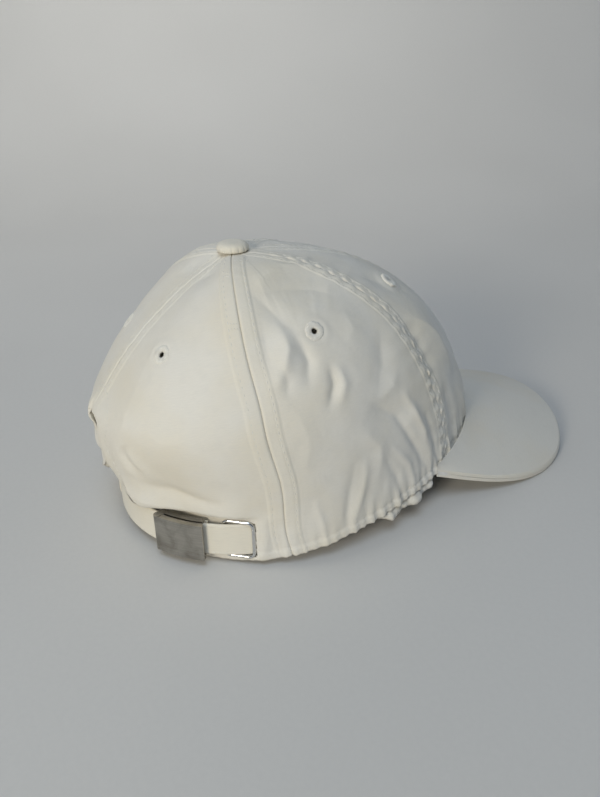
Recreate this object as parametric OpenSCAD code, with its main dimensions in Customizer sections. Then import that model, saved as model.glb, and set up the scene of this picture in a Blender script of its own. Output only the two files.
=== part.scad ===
// Soft six-panel baseball cap with a curved brim and an adjustable back strap.
// It rests on a table: the brim's side edges and the two feet of the back panels are at z = 0.
// Frame: millimetres, +Z up, the brim points along -Y, the wearer's right is -X.
// The crown's outer surface is crown(u, v): u is the angle from the front towards
// the wearer's right, and v runs from 0 at the lower edge to 1 at the button.

/* [Crown] */
// Half width of the crown
crown_half_w = 77; // [74:0.5:80]
// Reach of the crown in front of its centre
crown_front = 111; // [106:0.5:114]
// Reach of the crown behind its centre
crown_back = 108.5; // [106:0.5:111]
// Height of the crown at the button
crown_h = 131; // [124:0.5:136]
// Height of the crown's lower edge at the front
front_lift = 28.5; // [26:0.5:30]
// How far the button sits behind the centre
button_shift = 20.5; // [16:0.5:24]
// Share by which the strap draws the lower back inwards
back_pull = 0.3; // [0.28:0.005:0.32]
// Thickness of the panel cloth
cloth_t = 0.8; // [0.6:0.1:0.8]

/* [Back arch] */
// Half angle of the arched opening
arch_half = 17.5; // [16:0.5:19]
// Height of the arch as a share of the panel
arch_v = 0.33; // [0.3:0.01:0.35]

/* [Brim] */
// Length of the brim in front of the crown
brim_len = 64; // [58:1:70]
// How far the middle of the rim droops below the brim's slope
rim_droop = 5; // [3:0.5:6]
// Radius of the brim's side to side curve
brim_curve_r = 97; // [94:1:110]
// Fall of the brim from root to tip, per unit of length
brim_fall = 0.19; // [0.16:0.01:0.2]
// Thickness of the stiff brim board
board_t = 2; // [1.6:0.1:2.4]
// Thickness of each brim cover
cover_t = 0.8; // [0.6:0.1:0.8]

/* [Trim] */
// Diameter of the covered button
button_d = 15; // [13:0.5:16]
// Outer diameter of a stitched eyelet
eyelet_d = 9; // [8:0.5:10]
// Diameter of an eyelet's hole
eyelet_hole_d = 3; // [2.5:0.5:3.5]
// Width of the tape behind each seam
tape_w = 12; // [10:0.5:14]
// Height of the sweatband
sweatband_h = 30; // [26:1:34]

/* [Strap and clasp] */
// Width of the strap
strap_w = 17; // [15:0.5:17]
// Thickness of the strap
strap_t = 1.4; // [1:0.1:1.4]
// Radius of the strap's curve at its middle
strap_r = 63.5; // [63.4:0.05:63.6]
// Length of the clasp around the strap, in degrees
clasp_arc = 20; // [18:0.5:21]
// Thickness of the clasp's sheet steel
sheet_t = 0.9; // [0.7:0.1:1]
// Radius of the clasp's hinge pin
pin_r = 0.8; // [0.7:0.05:0.9]
// Wire diameter of the chrome ring
wire_d = 1.7; // [1.5:0.1:1.7]

/* [Hidden] */

// Crown shape: exponents of the profile at the front, side and back
front_pow = 0.84;
side_pow = 0.72;
back_pow = 1.48;
rise_pow = 0.96;
// The strap's pull is full up to pull_v0 and fades out at pull_v1
pull_v0 = 0.07;
pull_v1 = 0.36;
side_pull = 0.04;
// Seam angles at the lower edge, and how far each drifts towards the button
seam_side = 52.6;
seam_side_drift = 4;
seam_rear = 110.2;
seam_rear_drift = 6;
// The rear seams swing back by the strap, at [height, angle, spread], and forwards above it
seam_low = [0.08, 3.5, 0.09];
seam_mid = [0.36, -1.9, 0.15];
// Gap left between sewn neighbours
gap = 0.2;
// The panels stop this far from the button's axis
top_hole_r = 4;
// The tapes stop this far from the button's axis
tape_top_r = 15;
tape_t = 0.6;
tape_gap = 0.5;
// The tapes start above the sweatband, and the back one above the arch
tape_low_v = 0.2;
tape_arch_v = arch_v + 0.1;
binding_gap = 2.9;
band_t = 0.8;
binding_t = 0.8;

// Grid of each panel
cols = 10;
arch_cols = 6;
rows = 18;

// Places of the eyelets on the wearer's right, as [u, v]
eyelet_front = [28, 0.6];
eyelet_side = [86.5, 0.585];
eyelet_back = [149, 0.53];
eyelet_top = 0.9;
eyelet_clear = 0.06;

// Brim
brim_root_u = 58.6;
brim_flare = 17.5;
brim_rise = 3.38;
brim_gap = 0.3;
brim_cols = 28;
brim_rows = 6;
board_edge = 0.97;
layer_gap = 0.32;

// Strap: its arc is centred on the vertical line through [0, strap_y]
strap_y = 22;
strap_z = 14.3;
strap_start = -31;
strap_end = 87;
sleeve_start = -50;
sleeve_end = -20;
strap_clear = 0.3;
wall = 1;
clasp_start = 29.5;
clasp_end = clasp_start + clasp_arc;
strap_in = strap_r - strap_t/2;
strap_out = strap_r + strap_t/2;
// Clasp: half height, hinge barrel and lever radii
clasp_half = strap_w/2 + strap_clear + sheet_t;
barrel_r = 1.8;
pin_at = strap_out + 0.45 + barrel_r;
lever_in = pin_at + 0.7;
run_gap = 0.05;
ear_inset = 0.06;
// Chrome ring: places of its two upright bars, as [angle, radius] on the strap's arc
ring_near = [57.3, 61.6];
ring_far = [70, 65.4];
ring_corner = 3;
join = 0.2;
ring_bend_d = wire_d - 0.06;
// Slot for the strap's tail: its angles on the strap's arc and the radii that it cuts between
slot_start = 63.5;
slot_end = 76.5;
slot_in = 50;
slot_out = 66;
// Cloth tab folded behind the clasp
tab_start = clasp_start + 8;
tab_end = clasp_end + 1;
tab_gap = 1.6;
tab_t = 1.2;
fine = 48;

// ---- Crown surface ----

function front_share(u) = pow(max(cos(u), 0), 2);
function back_share(u) = pow(max(-cos(u), 0), 2);
function side_share(u) = 1 - front_share(u) - back_share(u);
function profile_pow(u) =
    front_pow*front_share(u) + back_pow*back_share(u) + side_pow*side_share(u);
// Smooth step from 0 at s = 0 to 1 at s = 1
function ramp(s) = let (c = min(max(s, 0), 1)) c*c*(3 - 2*c);
function pull(v) = 1 - ramp((v - pull_v0)/(pull_v1 - pull_v0));
// 1 over the back panels, where the strap holds the lower edge upright, 0 in front of the rear seams
function upright(u) = ramp((-cos(u) - 0.1)/0.49);
function hem_z(u) = front_lift*pow((1 + cos(u))/2, 1.5);
function crown(u, v) =
    let (rad = pow(cos(90*v), profile_pow(u)),
         h = pow(sin(90*v), rise_pow),
         reach = cos(u) > 0 ? crown_front : crown_back*(1 - back_pull*pull(v)),
         half = crown_half_w*(1 - side_pull*pull(v)),
         shift = button_shift*(0.63*h*(1 - upright(u)*pull(v)) + 0.37*v*v*v))
    [-half*sin(u)*rad, -reach*cos(u)*rad + shift, hem_z(u)*(1 - h) + crown_h*h];
function unit(a) = a/norm(a);
// Outward normal, from small steps along u and v
function out_dir(u, v) =
    let (w = min(v, 0.985), du = 0.5, dv = 0.004, lo = max(w - dv, 0))
    unit(cross(crown(u, w + dv) - crown(u, lo), crown(u + du, w) - crown(u - du, w)));
// A point at depth d inside the outer surface
function skin(u, v, d) = crown(u, v) - d*out_dir(u, v);
// Distance from the button's axis to the outline that the profile scales
function outline_r(u) =
    norm([crown_half_w*sin(u), (cos(u) > 0 ? crown_front : crown_back)*cos(u)]);
// The v at which the profile comes within r of the button's axis
function v_near_top(u, r) = 1 - asin(pow(r/outline_r(u), 1/profile_pow(u)))/90;
// Degrees of u that span a length at height v
function span_u(u, v, len) = len/norm(crown(u + 0.5, v) - crown(u - 0.5, v));
// Lower edge of the cloth: the arch at the back, 0 elsewhere
function arch_edge(u, grow = 0) =
    let (w = abs(180 - u)/(arch_half + grow), top = arch_v*(1 + grow/arch_half*0.8))
    w < 1 ? top*pow(1 - pow(w, 2.6), 1/2.6) : 0;
function side_seam(v) = seam_side + seam_side_drift*v*v*v;
function swing(v, s) = s[1]*exp(-pow((v - s[0])/s[2], 2));
function rear_seam(v) = seam_rear + seam_rear_drift*v*v*v + swing(v, seam_low) + swing(v, seam_mid);
function mix(a, b, t) = a + (b - a)*t;

// ---- Thin solids from grids of points ----

// Closed solid between an outer and an inner grid of n by m points
module shell(outer, inner, n, m) {
    k = n*m;
    points = concat(outer, inner);
    sheets = [for (i = [0:n-2], j = [0:m-2])
        let (a = i*m + j, b = a + m)
        each [[a, b+1, a+1], [a, b, b+1], [k+a, k+a+1, k+b+1], [k+a, k+b+1, k+b]]];
    ends = [for (j = [0:m-2])
        let (a = j, b = (n-1)*m + j)
        each [[a, k+a+1, k+a], [a, a+1, k+a+1], [b, k+b+1, b+1], [b, k+b, k+b+1]]];
    rims = [for (i = [0:n-2])
        let (a = i*m, b = a + m - 1)
        each [[a, k+a+m, a+m], [a, k+a, k+a+m], [b, k+b+m, k+b], [b, b+m, k+b+m]]];
    polyhedron(points, concat(sheets, ends, rims), convexity = 6);
}

module on_left() {
    mirror([1, 0, 0])
        children();
}

// ---- Panels, all drawn for the wearer's right ----

// Angle of column i of a panel at height v
function front_u(i, v) =
    mix(span_u(1, v, gap/2), side_seam(v) - span_u(side_seam(v), v, gap/2), i/cols);
function side_u(i, v) =
    mix(side_seam(v) + span_u(side_seam(v), v, gap/2),
        rear_seam(v) - span_u(rear_seam(v), v, gap/2), i/cols);
function back_u(i, v) = i <= arch_cols
    ? 180 - mix(span_u(179, v, gap/2), arch_half, sin(90*i/arch_cols))
    : mix(180 - arch_half, rear_seam(v) + span_u(rear_seam(v), v, gap/2),
          (i - arch_cols)/(cols + 2 - arch_cols));

function front_grid(d) = [for (i = [0:cols], j = [0:rows])
    let (v = j/rows*v_near_top(mix(0, seam_side, i/cols), top_hole_r)) skin(front_u(i, v), v, d)];
function side_grid(d) = [for (i = [0:cols], j = [0:rows])
    let (v = j/rows*v_near_top(mix(seam_side, seam_rear, i/cols), top_hole_r)) skin(side_u(i, v), v, d)];
function back_grid(d) = [for (i = [cols+2:-1:0], j = [0:rows])
    let (u0 = back_u(i, 0), v = mix(arch_edge(u0), v_near_top(u0, top_hole_r), j/rows))
    skin(back_u(i, v), v, d)];

module front_panel() {
    color("ivory") difference() {
        shell(front_grid(0), front_grid(cloth_t), cols + 1, rows + 1);
        eyelet_place(eyelet_front) cylinder(h = 12, r = eyelet_d/2 + eyelet_clear, center = true, $fn = fine);
    }
}

module side_panel() {
    color("ivory") difference() {
        shell(side_grid(0), side_grid(cloth_t), cols + 1, rows + 1);
        eyelet_place(eyelet_side) cylinder(h = 12, r = eyelet_d/2 + eyelet_clear, center = true, $fn = fine);
    }
}

module back_panel() {
    color("ivory") difference() {
        shell(back_grid(0), back_grid(cloth_t), cols + 3, rows + 1);
        eyelet_place(eyelet_back) cylinder(h = 12, r = eyelet_d/2 + eyelet_clear, center = true, $fn = fine);
    }
}

// The back panel on the wearer's right has the slot that the strap's tail goes through
module back_panel_slotted() {
    difference() {
        back_panel();
        strap_band(slot_start, slot_end, slot_in, slot_out, strap_w/2 + strap_clear);
    }
}

// ---- Eyelets ----

function eyelet_turn(n) = [0, acos(n[2]), atan2(n[1], n[0])];
module eyelet_place(at) {
    translate(skin(at[0], at[1], cloth_t/2))
        rotate(eyelet_turn(out_dir(at[0], at[1])))
            children();
}

module eyelet(at) {
    r_out = eyelet_d/2;
    r_in = eyelet_hole_d/2;
    mid = (r_out + r_in)/2;
    color("cornsilk") eyelet_place(at)
        rotate_extrude($fn = fine)
            intersection() {
                translate([mid, 0]) scale((r_out - r_in)/2) circle(r = 1, $fn = 32);
                translate([r_in, -eyelet_top]) square([r_out - r_in, 2*eyelet_top]);
            }
}

// ---- Seam tapes ----

function tape_grid(kind, d) = [for (i = [0:4], j = [0:rows])
    let (side = (i/4 - 0.5)*tape_w,
         base = kind == 0 ? 0 : kind == 1 ? seam_side : kind == 2 ? seam_rear : 180,
         v0 = kind == 3 ? tape_arch_v : tape_low_v,
         v = mix(v0, v_near_top(base, tape_top_r), j/rows),
         u = kind == 0 ? 0 : kind == 1 ? side_seam(v) : kind == 2 ? rear_seam(v) : 180)
    skin(u + span_u(u, v, side), v, d)];
module seam_tape(kind) {
    color("linen")
        shell(tape_grid(kind, cloth_t + tape_gap),
              tape_grid(kind, cloth_t + tape_gap + tape_t), 5, rows + 1);
}

// ---- Sweatband, behind the lower edge from one foot of the arch to the other ----

band_end = 152;
tail_room = 6.6;
band_cols = 44;
band_rows = 4;
// 0 at the sides to 1 beside the strap's tail
function at_tail(u) = ramp((0.09 - cos(u))/0.45);
// Distance inside the crown: it grows at the back to leave room for the strap's tail
function band_depth(u) = cloth_t + 1.2 + tail_room*at_tail(u);
function flat_dir(u, v) = unit([out_dir(u, v)[0], out_dir(u, v)[1], 0]);
// The v at height z above the lower edge
function v_at_height(u, z) = asin(pow(z/(crown_h - hem_z(u)), 1/rise_pow))/90;
// The band follows the crown at the front and sides, and stands upright at the back
function band_point(i, j, d) =
    let (u = mix(-band_end, band_end, i/band_cols),
         z = 1.2 + sweatband_h*j/band_rows,
         v = mix(v_at_height(u, z), 0.03, at_tail(u)),
         q = crown(u, v) - (band_depth(u) + d)*flat_dir(u, v))
    [q[0], q[1], hem_z(u) + z];
function band_grid(d) = [for (i = [0:band_cols], j = [0:band_rows]) band_point(i, j, d)];
module sweatband_layer(d) {
    shell(band_grid(d), band_grid(d + band_t), band_cols + 1, band_rows + 1);
}
module sweatband_backing() {
    color("white") sweatband_layer(0);
}
module sweatband() {
    color("oldlace") sweatband_layer(band_t + gap);
}

// ---- Binding inside the arch's edge ----

binding_cols = 36;
binding_rows = 4;
function binding_point(i, j, d) =
    let (a = mix(-90, 90, i/binding_cols),
         grow = mix(-0.9, 5.5, j/binding_rows),
         u = 180 + (arch_half + grow)*sin(a),
         v = max(arch_edge(u, grow), 0.004))
    skin(u, v, d);
function binding_grid(d) = [for (i = [0:binding_cols], j = [0:binding_rows]) binding_point(i, j, d)];
module arch_binding() {
    color("ivory")
        shell(binding_grid(cloth_t + binding_gap),
              binding_grid(cloth_t + binding_gap + binding_t), binding_cols + 1, binding_rows + 1);
}

// ---- Brim ----

// The brim's sheet: s is -1 to 1 across, t is 0 at the crown to 1 at the rim
function brim_point(s, t, drop) =
    let (u = s*brim_root_u,
         root = crown(u, 0.01) + brim_gap*flat_dir(u, 0.01),
         corner = crown(brim_root_u, 0),
         tip = -crown_front - brim_len,
         a = 90*s,
         rim_x = corner[0]*sin(a) - brim_flare*sin(2*a),
         rim_y = mix(corner[1], tip, pow(max(cos(a), 0), 0.9)),
         x = mix(root[0], rim_x, t),
         y = mix(root[1], rim_y, t),
         sheet = front_lift - x*x/(2*brim_curve_r) - (-crown_front - y)*brim_fall,
         root_sheet = front_lift - root[0]*root[0]/(2*brim_curve_r)
             - (-crown_front - root[1])*brim_fall,
         fit = (root[2] - root_sheet)*(1 - t)*(1 - t))
    [x, y, sheet + fit + brim_rise - rim_droop*t*t*pow(max(cos(a), 0), 5) - drop];
// Rows run to the board's edge, and the covers have one more row to the rim
function brim_t(j) = j <= brim_rows ? board_edge*j/brim_rows : 1;
function brim_grid(drop, last) = [for (i = [0:brim_cols], j = [0:last])
    brim_point(-1 + 2*i/brim_cols, brim_t(j), drop)];
module brim_layer(top, thick, last) {
    shell(brim_grid(top + thick, last), brim_grid(top, last), brim_cols + 1, last + 1);
}
module brim_top_cover() {
    color("ivory") brim_layer(0, cover_t, brim_rows + 1);
}
module brim_board() {
    color("white") brim_layer(cover_t + layer_gap, board_t, brim_rows);
}
module brim_under_cover() {
    color("ivory") brim_layer(cover_t + board_t + 2*layer_gap, cover_t, brim_rows + 1);
}

// ---- Button on top of the crown ----

button_base = 0.9;
button_rise = 4.2;
cover_wrap = 0.9;
button_shell_t = 0.6;
module button_place() {
    translate([0, crown(0, 1)[1], crown_h + button_base])
        children();
}
// Half outline of a dome of base radius r and height h
module dome_half(r, h) {
    ball = (r*r + h*h)/(2*h);
    intersection() {
        translate([0, h - ball]) circle(r = ball, $fn = 96);
        square([r, h]);
    }
}
module dome_shell(r, h, t) {
    button_place()
        rotate_extrude($fn = fine)
            difference() {
                dome_half(r, h);
                translate([0, -0.01]) dome_half(r - t, h - t);
            }
}
module button_shell() {
    color("silver")
        dome_shell(button_d/2 - cover_wrap, button_rise - cover_wrap, button_shell_t);
}
module button_cover() {
    color("ivory")
        dome_shell(button_d/2, button_rise, cover_wrap - 0.1);
}
rivet_drop = 4.6;
module button_rivet() {
    color("silver") button_place()
        union() {
            translate([0, 0, -rivet_drop]) cylinder(h = rivet_drop + 1.8, r = 1.6, $fn = fine);
            translate([0, 0, -rivet_drop]) cylinder(h = 0.8, r = 6, $fn = fine);
        }
}

// ---- Strap, clasp and ring ----

// Place at an angle around the strap's arc, measured from the back towards the wearer's right
function arc_point(a, r) = [-r*sin(a), strap_y + r*cos(a)];
// Band between two angles and two radii, with half height hh
module strap_band(a0, a1, r0, r1, hh) {
    translate([0, strap_y, strap_z])
        rotate(90 + a0)
            rotate_extrude(angle = a1 - a0, $fn = 180)
                translate([r0, -hh]) square([r1 - r0, 2*hh]);
}
module strap() {
    color("ivory") strap_band(strap_start, strap_end, strap_in, strap_out, strap_w/2);
}
module strap_sleeve() {
    color("ivory") difference() {
        strap_band(sleeve_start, sleeve_end, strap_in - strap_clear - wall,
                   strap_out + strap_clear + wall, strap_w/2 + strap_clear + wall);
        strap_band(sleeve_start - 2, sleeve_end + 2, strap_in - strap_clear,
                   strap_out + strap_clear, strap_w/2 + strap_clear);
    }
}
module clasp_tab() {
    color("ivory")
        strap_band(tab_start, tab_end, strap_in - tab_gap - tab_t, strap_in - tab_gap, strap_w/2 - 0.5);
}
module at_pin() {
    p = arc_point(clasp_start, pin_at);
    translate([p[0], p[1], strap_z])
        children();
}
// Sheet bent to a channel: a wall between r0 and r0 + sheet_t, with rims that reach to rim_r
module channel(a0, a1, r0, rim_r) {
    lip_z = clasp_half - sheet_t;
    low = min(r0, rim_r);
    high = max(r0 + sheet_t, rim_r);
    translate([0, strap_y, strap_z])
        rotate(90 + a0)
            rotate_extrude(angle = a1 - a0, $fn = 180)
                difference() {
                    translate([low, -clasp_half]) square([high - low, 2*clasp_half]);
                    translate([rim_r > r0 ? r0 + sheet_t : low - 1, -lip_z])
                        square([rim_r > r0 ? high - r0 : r0 - low + 1, 2*lip_z]);
                }
}
// One of the base's two ears, drawn flat: a strip out to the pin, round at its end
module ear() {
    root = arc_point(clasp_start + 1.15, strap_in - strap_clear - 0.5*sheet_t);
    tip = arc_point(clasp_start, pin_at);
    along = unit(tip - root);
    across = barrel_r*[-along[1], along[0]];
    linear_extrude(sheet_t, center = true) {
        polygon([root + across, root - across, tip - across, tip + across]);
        translate(tip) circle(r = barrel_r, $fn = fine);
    }
}
module clasp_base() {
    floor_in = strap_in - strap_clear - sheet_t;
    color("silver") difference() {
        union() {
            channel(clasp_start, clasp_end, floor_in, strap_out + 0.2);
            for (side = [-1, 1])
                translate([0, 0, strap_z + side*(clasp_half - sheet_t/2 - ear_inset)])
                    ear();
        }
        at_pin() cylinder(h = 3*clasp_half, r = pin_r + 0.02, center = true, $fn = fine);
    }
}
module clasp_lever() {
    barrel_half = clasp_half - sheet_t - 0.35;
    color("silver") difference() {
        union() {
            channel(clasp_start, clasp_end + 0.6, lever_in, lever_in - 1.6);
            at_pin() cylinder(h = 2*barrel_half, r = barrel_r, center = true, $fn = fine);
        }
        at_pin() cylinder(h = 3*clasp_half, r = pin_r + run_gap, center = true, $fn = fine);
        // Room for the base's ears above and below the barrel
        for (side = [-1, 1])
            translate([0, 0, side*(clasp_half - sheet_t/2 + 1)])
                at_pin() cylinder(h = sheet_t + 2.4, r = barrel_r + 0.5, center = true, $fn = fine);
    }
}
module clasp_pin() {
    color("dimgray") at_pin()
        cylinder(h = 2*clasp_half - 0.1, r = pin_r, center = true, $fn = fine);
}

// Rounded rectangle of wire, drawn flat in XZ and turned to lie on the panel
module slot_ring() {
    near = arc_point(ring_near[0], ring_near[1]);
    far = arc_point(ring_far[0], ring_far[1]);
    span = far - near;
    half_w = norm(span)/2;
    half_h = strap_w/2 + strap_clear + wire_d/2;
    mid = (near + far)/2;
    color("gainsboro")
        translate([mid[0], mid[1], strap_z])
            rotate(atan2(span[1], span[0]))
                rotate([90, 0, 0]) {
                    for (side = [-1, 1]) {
                        translate([side*half_w, 0, 0]) rotate([90, 0, 0])
                            cylinder(h = 2*(half_h - ring_corner) + join, d = wire_d, center = true, $fn = 32);
                        translate([0, side*half_h, 0]) rotate([0, 90, 0])
                            cylinder(h = 2*(half_w - ring_corner) + join, d = wire_d, center = true, $fn = 32);
                    }
                    for (k = [0:3])
                        rotate(k > 1 ? 180 : 0) mirror([k % 2, 0, 0])
                            translate([half_w - ring_corner, half_h - ring_corner, 0])
                                rotate_extrude(angle = 90, $fn = 64)
                                    translate([ring_corner, 0]) circle(d = ring_bend_d, $fn = 32);
                }
}

// ---- One line per node, set with the middle of the footprint on the Z axis ----

rear_y = max([for (v = [arch_v:0.01:0.7]) crown(179, v)[1]]);
module place() {
    translate([0, (crown_front + brim_len - rear_y)/2, 0])
        children();
}

place() front_panel();  // front_panel_right
place() on_left() front_panel();  // front_panel_left
place() side_panel();  // side_panel_right
place() on_left() side_panel();  // side_panel_left
place() back_panel_slotted();  // back_panel_right
place() on_left() back_panel();  // back_panel_left
place() seam_tape(0);  // seam_tape_front
place() seam_tape(1);  // seam_tape_front_right
place() on_left() seam_tape(1);  // seam_tape_front_left
place() seam_tape(2);  // seam_tape_rear_right
place() on_left() seam_tape(2);  // seam_tape_rear_left
place() seam_tape(3);  // seam_tape_back
place() eyelet(eyelet_front);  // eyelet_front_right
place() on_left() eyelet(eyelet_front);  // eyelet_front_left
place() eyelet(eyelet_side);  // eyelet_side_right
place() on_left() eyelet(eyelet_side);  // eyelet_side_left
place() eyelet(eyelet_back);  // eyelet_back_right
place() on_left() eyelet(eyelet_back);  // eyelet_back_left
place() sweatband();
place() sweatband_backing();
place() arch_binding();
place() brim_board();
place() brim_top_cover();
place() brim_under_cover();
place() button_shell();
place() button_cover();
place() button_rivet();
place() strap();
place() strap_sleeve();
place() clasp_tab();
place() clasp_base();
place() clasp_lever();
place() clasp_pin();
place() slot_ring();
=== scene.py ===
"""Looks of the soft six-panel cap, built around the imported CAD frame.

All shapes are computed in millimetres with the crown's centre at x = y = 0, and turned into metres in the
row frame when a mesh is made. The crown's surface is crown(u, v): u is the angle from the front towards the
wearer's right (negative to the left), v is 0 at the lower edge and 1 at the button.
"""
import bpy
import math
from itertools import product
import numpy as np
from mathutils import Matrix, Vector


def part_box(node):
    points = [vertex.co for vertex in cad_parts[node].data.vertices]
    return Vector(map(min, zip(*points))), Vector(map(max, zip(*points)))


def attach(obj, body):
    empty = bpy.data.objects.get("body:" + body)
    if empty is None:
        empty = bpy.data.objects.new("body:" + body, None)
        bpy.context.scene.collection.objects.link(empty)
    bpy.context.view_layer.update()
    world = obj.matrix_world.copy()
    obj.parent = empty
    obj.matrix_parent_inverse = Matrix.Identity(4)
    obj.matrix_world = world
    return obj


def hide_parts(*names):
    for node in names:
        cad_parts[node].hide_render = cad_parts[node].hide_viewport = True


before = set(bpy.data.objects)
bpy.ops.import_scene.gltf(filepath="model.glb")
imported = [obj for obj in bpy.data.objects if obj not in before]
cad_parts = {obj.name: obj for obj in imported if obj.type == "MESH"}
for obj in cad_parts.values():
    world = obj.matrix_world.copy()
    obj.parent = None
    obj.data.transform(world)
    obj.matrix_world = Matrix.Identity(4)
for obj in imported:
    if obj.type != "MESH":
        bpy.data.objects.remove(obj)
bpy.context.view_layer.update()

MM = 0.001
CROWN_HALF_W, CROWN_FRONT, CROWN_BACK = 77.0, 111.0, 108.5
CROWN_H, FRONT_LIFT, BUTTON_SHIFT = 131.0, 28.5, 20.5
RISE_POWER = 0.96
SIDE_U, REAR_U = 52.6, 110.2
CLOTH = 0.8
ARCH_HALF, ARCH_V, ARCH_POWER = 17.5, 0.33, 2.6
# Length in mm of v from 0 to 1 where the arch is
BACK_V_MM = 150.0
# How near the panels come to the button's axis, and the hole in an eyelet
PANEL_TOP_R, EYELET_HOLE_R = 3.4, 2.5
STRAP_Y, STRAP_Z, STRAP_R, STRAP_W = 22.0, 14.3, 63.5, 17.0
SLOT_START, SLOT_END = 63.5, 70.9
BRIM_ROOT_U, BRIM_LEN, BRIM_R, BRIM_T = 58.6, 64.0, 97.0, 4.24
BRIM_FALL, BRIM_RISE, BRIM_FLARE, BRIM_DROOP = 0.19, 3.38, 17.5, 5.0

# The row frame's y of the crown's centre, from where the CAD put the button
button_low, button_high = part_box("button_cover")
SHIFT = np.array([0.0, (button_low.y + button_high.y) / 2 / MM - BUTTON_SHIFT, 0.0])
rng = np.random.default_rng(11)
LATTICE = rng.uniform(-1, 1, (32, 32, 32))


# ---------------------------------------------------------------- crown surface

def ramp(s):
    c = np.clip(s, 0, 1)
    return c * c * (3 - 2 * c)


def mix(a, b, t):
    return a + (b - a) * t


def unit(a):
    return a / (np.linalg.norm(a, axis=-1, keepdims=True) + 1e-12)


def squared(x, power):
    """A sine or cosine bent towards 1 and -1, which squares up the circle it draws."""
    return np.sign(x) * np.abs(x) ** power


def lengths(points, axis=0):
    """Length along lines of points, from 0 at the start of each."""
    steps = np.linalg.norm(np.diff(points, axis=axis), axis=-1)
    return np.insert(np.cumsum(steps, axis), 0, 0, axis)


def lookup(x, xs, table):
    """A table's row at x, where xs says what x each row has."""
    return np.stack([np.interp(x, xs, column) for column in table.T], -1)


def hem_z(u):
    """Height of the lower edge, which climbs towards the front."""
    return FRONT_LIFT * ((1 + np.cos(np.radians(u))) / 2) ** 1.5


def profile_power(u):
    """How early the crown narrows towards the button, earliest at the back."""
    c = np.cos(np.radians(u))
    front, back = np.maximum(c, 0) ** 2, np.maximum(-c, 0) ** 2
    return 0.84 * front + 1.48 * back + 0.72 * (1 - front - back)


def crown(u, v):
    u, v = np.broadcast_arrays(np.asarray(u, float), np.asarray(v, float))
    a = np.radians(u)
    c, s = np.cos(a), np.sin(a)
    rad = np.maximum(np.cos(np.pi / 2 * v), 0) ** profile_power(u)
    h = np.maximum(np.sin(np.pi / 2 * v), 0) ** RISE_POWER
    pull = 1 - ramp((v - 0.07) / 0.29)
    reach = np.where(c > 0, CROWN_FRONT, CROWN_BACK * (1 - 0.3 * pull))
    half = CROWN_HALF_W * (1 - 0.04 * pull)
    upright = ramp((-c - 0.1) / 0.49)
    shift = BUTTON_SHIFT * (0.63 * h * (1 - upright * pull) + 0.37 * v ** 3)
    return np.stack([-half * s * rad, -reach * c * rad + shift, hem_z(u) * (1 - h) + CROWN_H * h], -1)


def out_dir(u, v):
    w = np.minimum(v, 0.985)
    lo = np.maximum(w - 0.004, 0)
    return unit(np.cross(crown(u, w + 0.004) - crown(u, lo), crown(u + 0.5, w) - crown(u - 0.5, w)))


def flat_dir(u, v):
    n = out_dir(u, v).copy()
    n[..., 2] = 0
    return unit(n)


def v_near_top(u, r):
    a = np.radians(u)
    line = np.hypot(CROWN_HALF_W * np.sin(a), np.where(np.cos(a) > 0, CROWN_FRONT, CROWN_BACK) * np.cos(a))
    return 1 - np.degrees(np.arcsin((r / line) ** (1 / profile_power(u)))) / 90


def per_degree(u, v):
    """Length of one degree of u, in mm."""
    return np.maximum(np.linalg.norm(crown(u + 0.5, v) - crown(u - 0.5, v), axis=-1), 1e-3)


def side_seam(v):
    return SIDE_U + 4 * v ** 3


def rear_seam(v):
    at_foot, at_arch = np.exp(-((v - 0.08) / 0.09) ** 2), np.exp(-((v - 0.36) / 0.15) ** 2)
    return REAR_U + 6 * v ** 3 + 3.5 * at_foot - 1.9 * at_arch


def arch_edge(u, grow=0.0):
    """The v of the arch's edge over the angle u, or of a line that runs grow mm outside it."""
    w = np.abs((np.asarray(u, float) % 360) - 180) / (ARCH_HALF + grow)
    top = ARCH_V * (1 + grow / ARCH_HALF * 0.8)
    return np.where(w < 1, top * np.clip(1 - np.minimum(w, 1) ** ARCH_POWER, 0, 1) ** (1 / ARCH_POWER), 0)


def noise(p, scale, seed=0.0):
    """Smooth value noise from -1 to 1 over points in mm."""
    q = p / scale + np.array([seed * 7.31, seed * 3.17 + 0.5, seed * 5.77 + 0.25])
    i = np.floor(q).astype(int)
    f = q - i
    f = f * f * (3 - 2 * f)
    total = 0.0
    for dx, dy, dz in product((0, 1), repeat=3):
        weight = ((f[..., 0] if dx else 1 - f[..., 0]) * (f[..., 1] if dy else 1 - f[..., 1])
                  * (f[..., 2] if dz else 1 - f[..., 2]))
        total = total + weight * LATTICE[(i[..., 0] + dx) % 32, (i[..., 1] + dy) % 32, (i[..., 2] + dz) % 32]
    return total


def line_distance(p, path):
    """Distance from points p to a path of 3-D points, and how far along the path it is, 0 to 1."""
    path = np.asarray(path, float)
    lengths = np.linalg.norm(np.diff(path, axis=0), axis=1)
    total, run = lengths.sum(), 0.0
    best = np.full(p.shape[:-1], 1e9)
    along = np.zeros(p.shape[:-1])
    for a, b, length in zip(path[:-1], path[1:], lengths):
        t = np.clip(((p - a) @ (b - a)) / max(length * length, 1e-9), 0, 1)
        d = np.linalg.norm(p - (a + t[..., None] * (b - a)), axis=-1)
        near = d < best
        best = np.where(near, d, best)
        along = np.where(near, (run + t * length) / total, along)
        run += length
    return best, along


# ---------------------------------------------------------------- folds of the worn cloth

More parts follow.
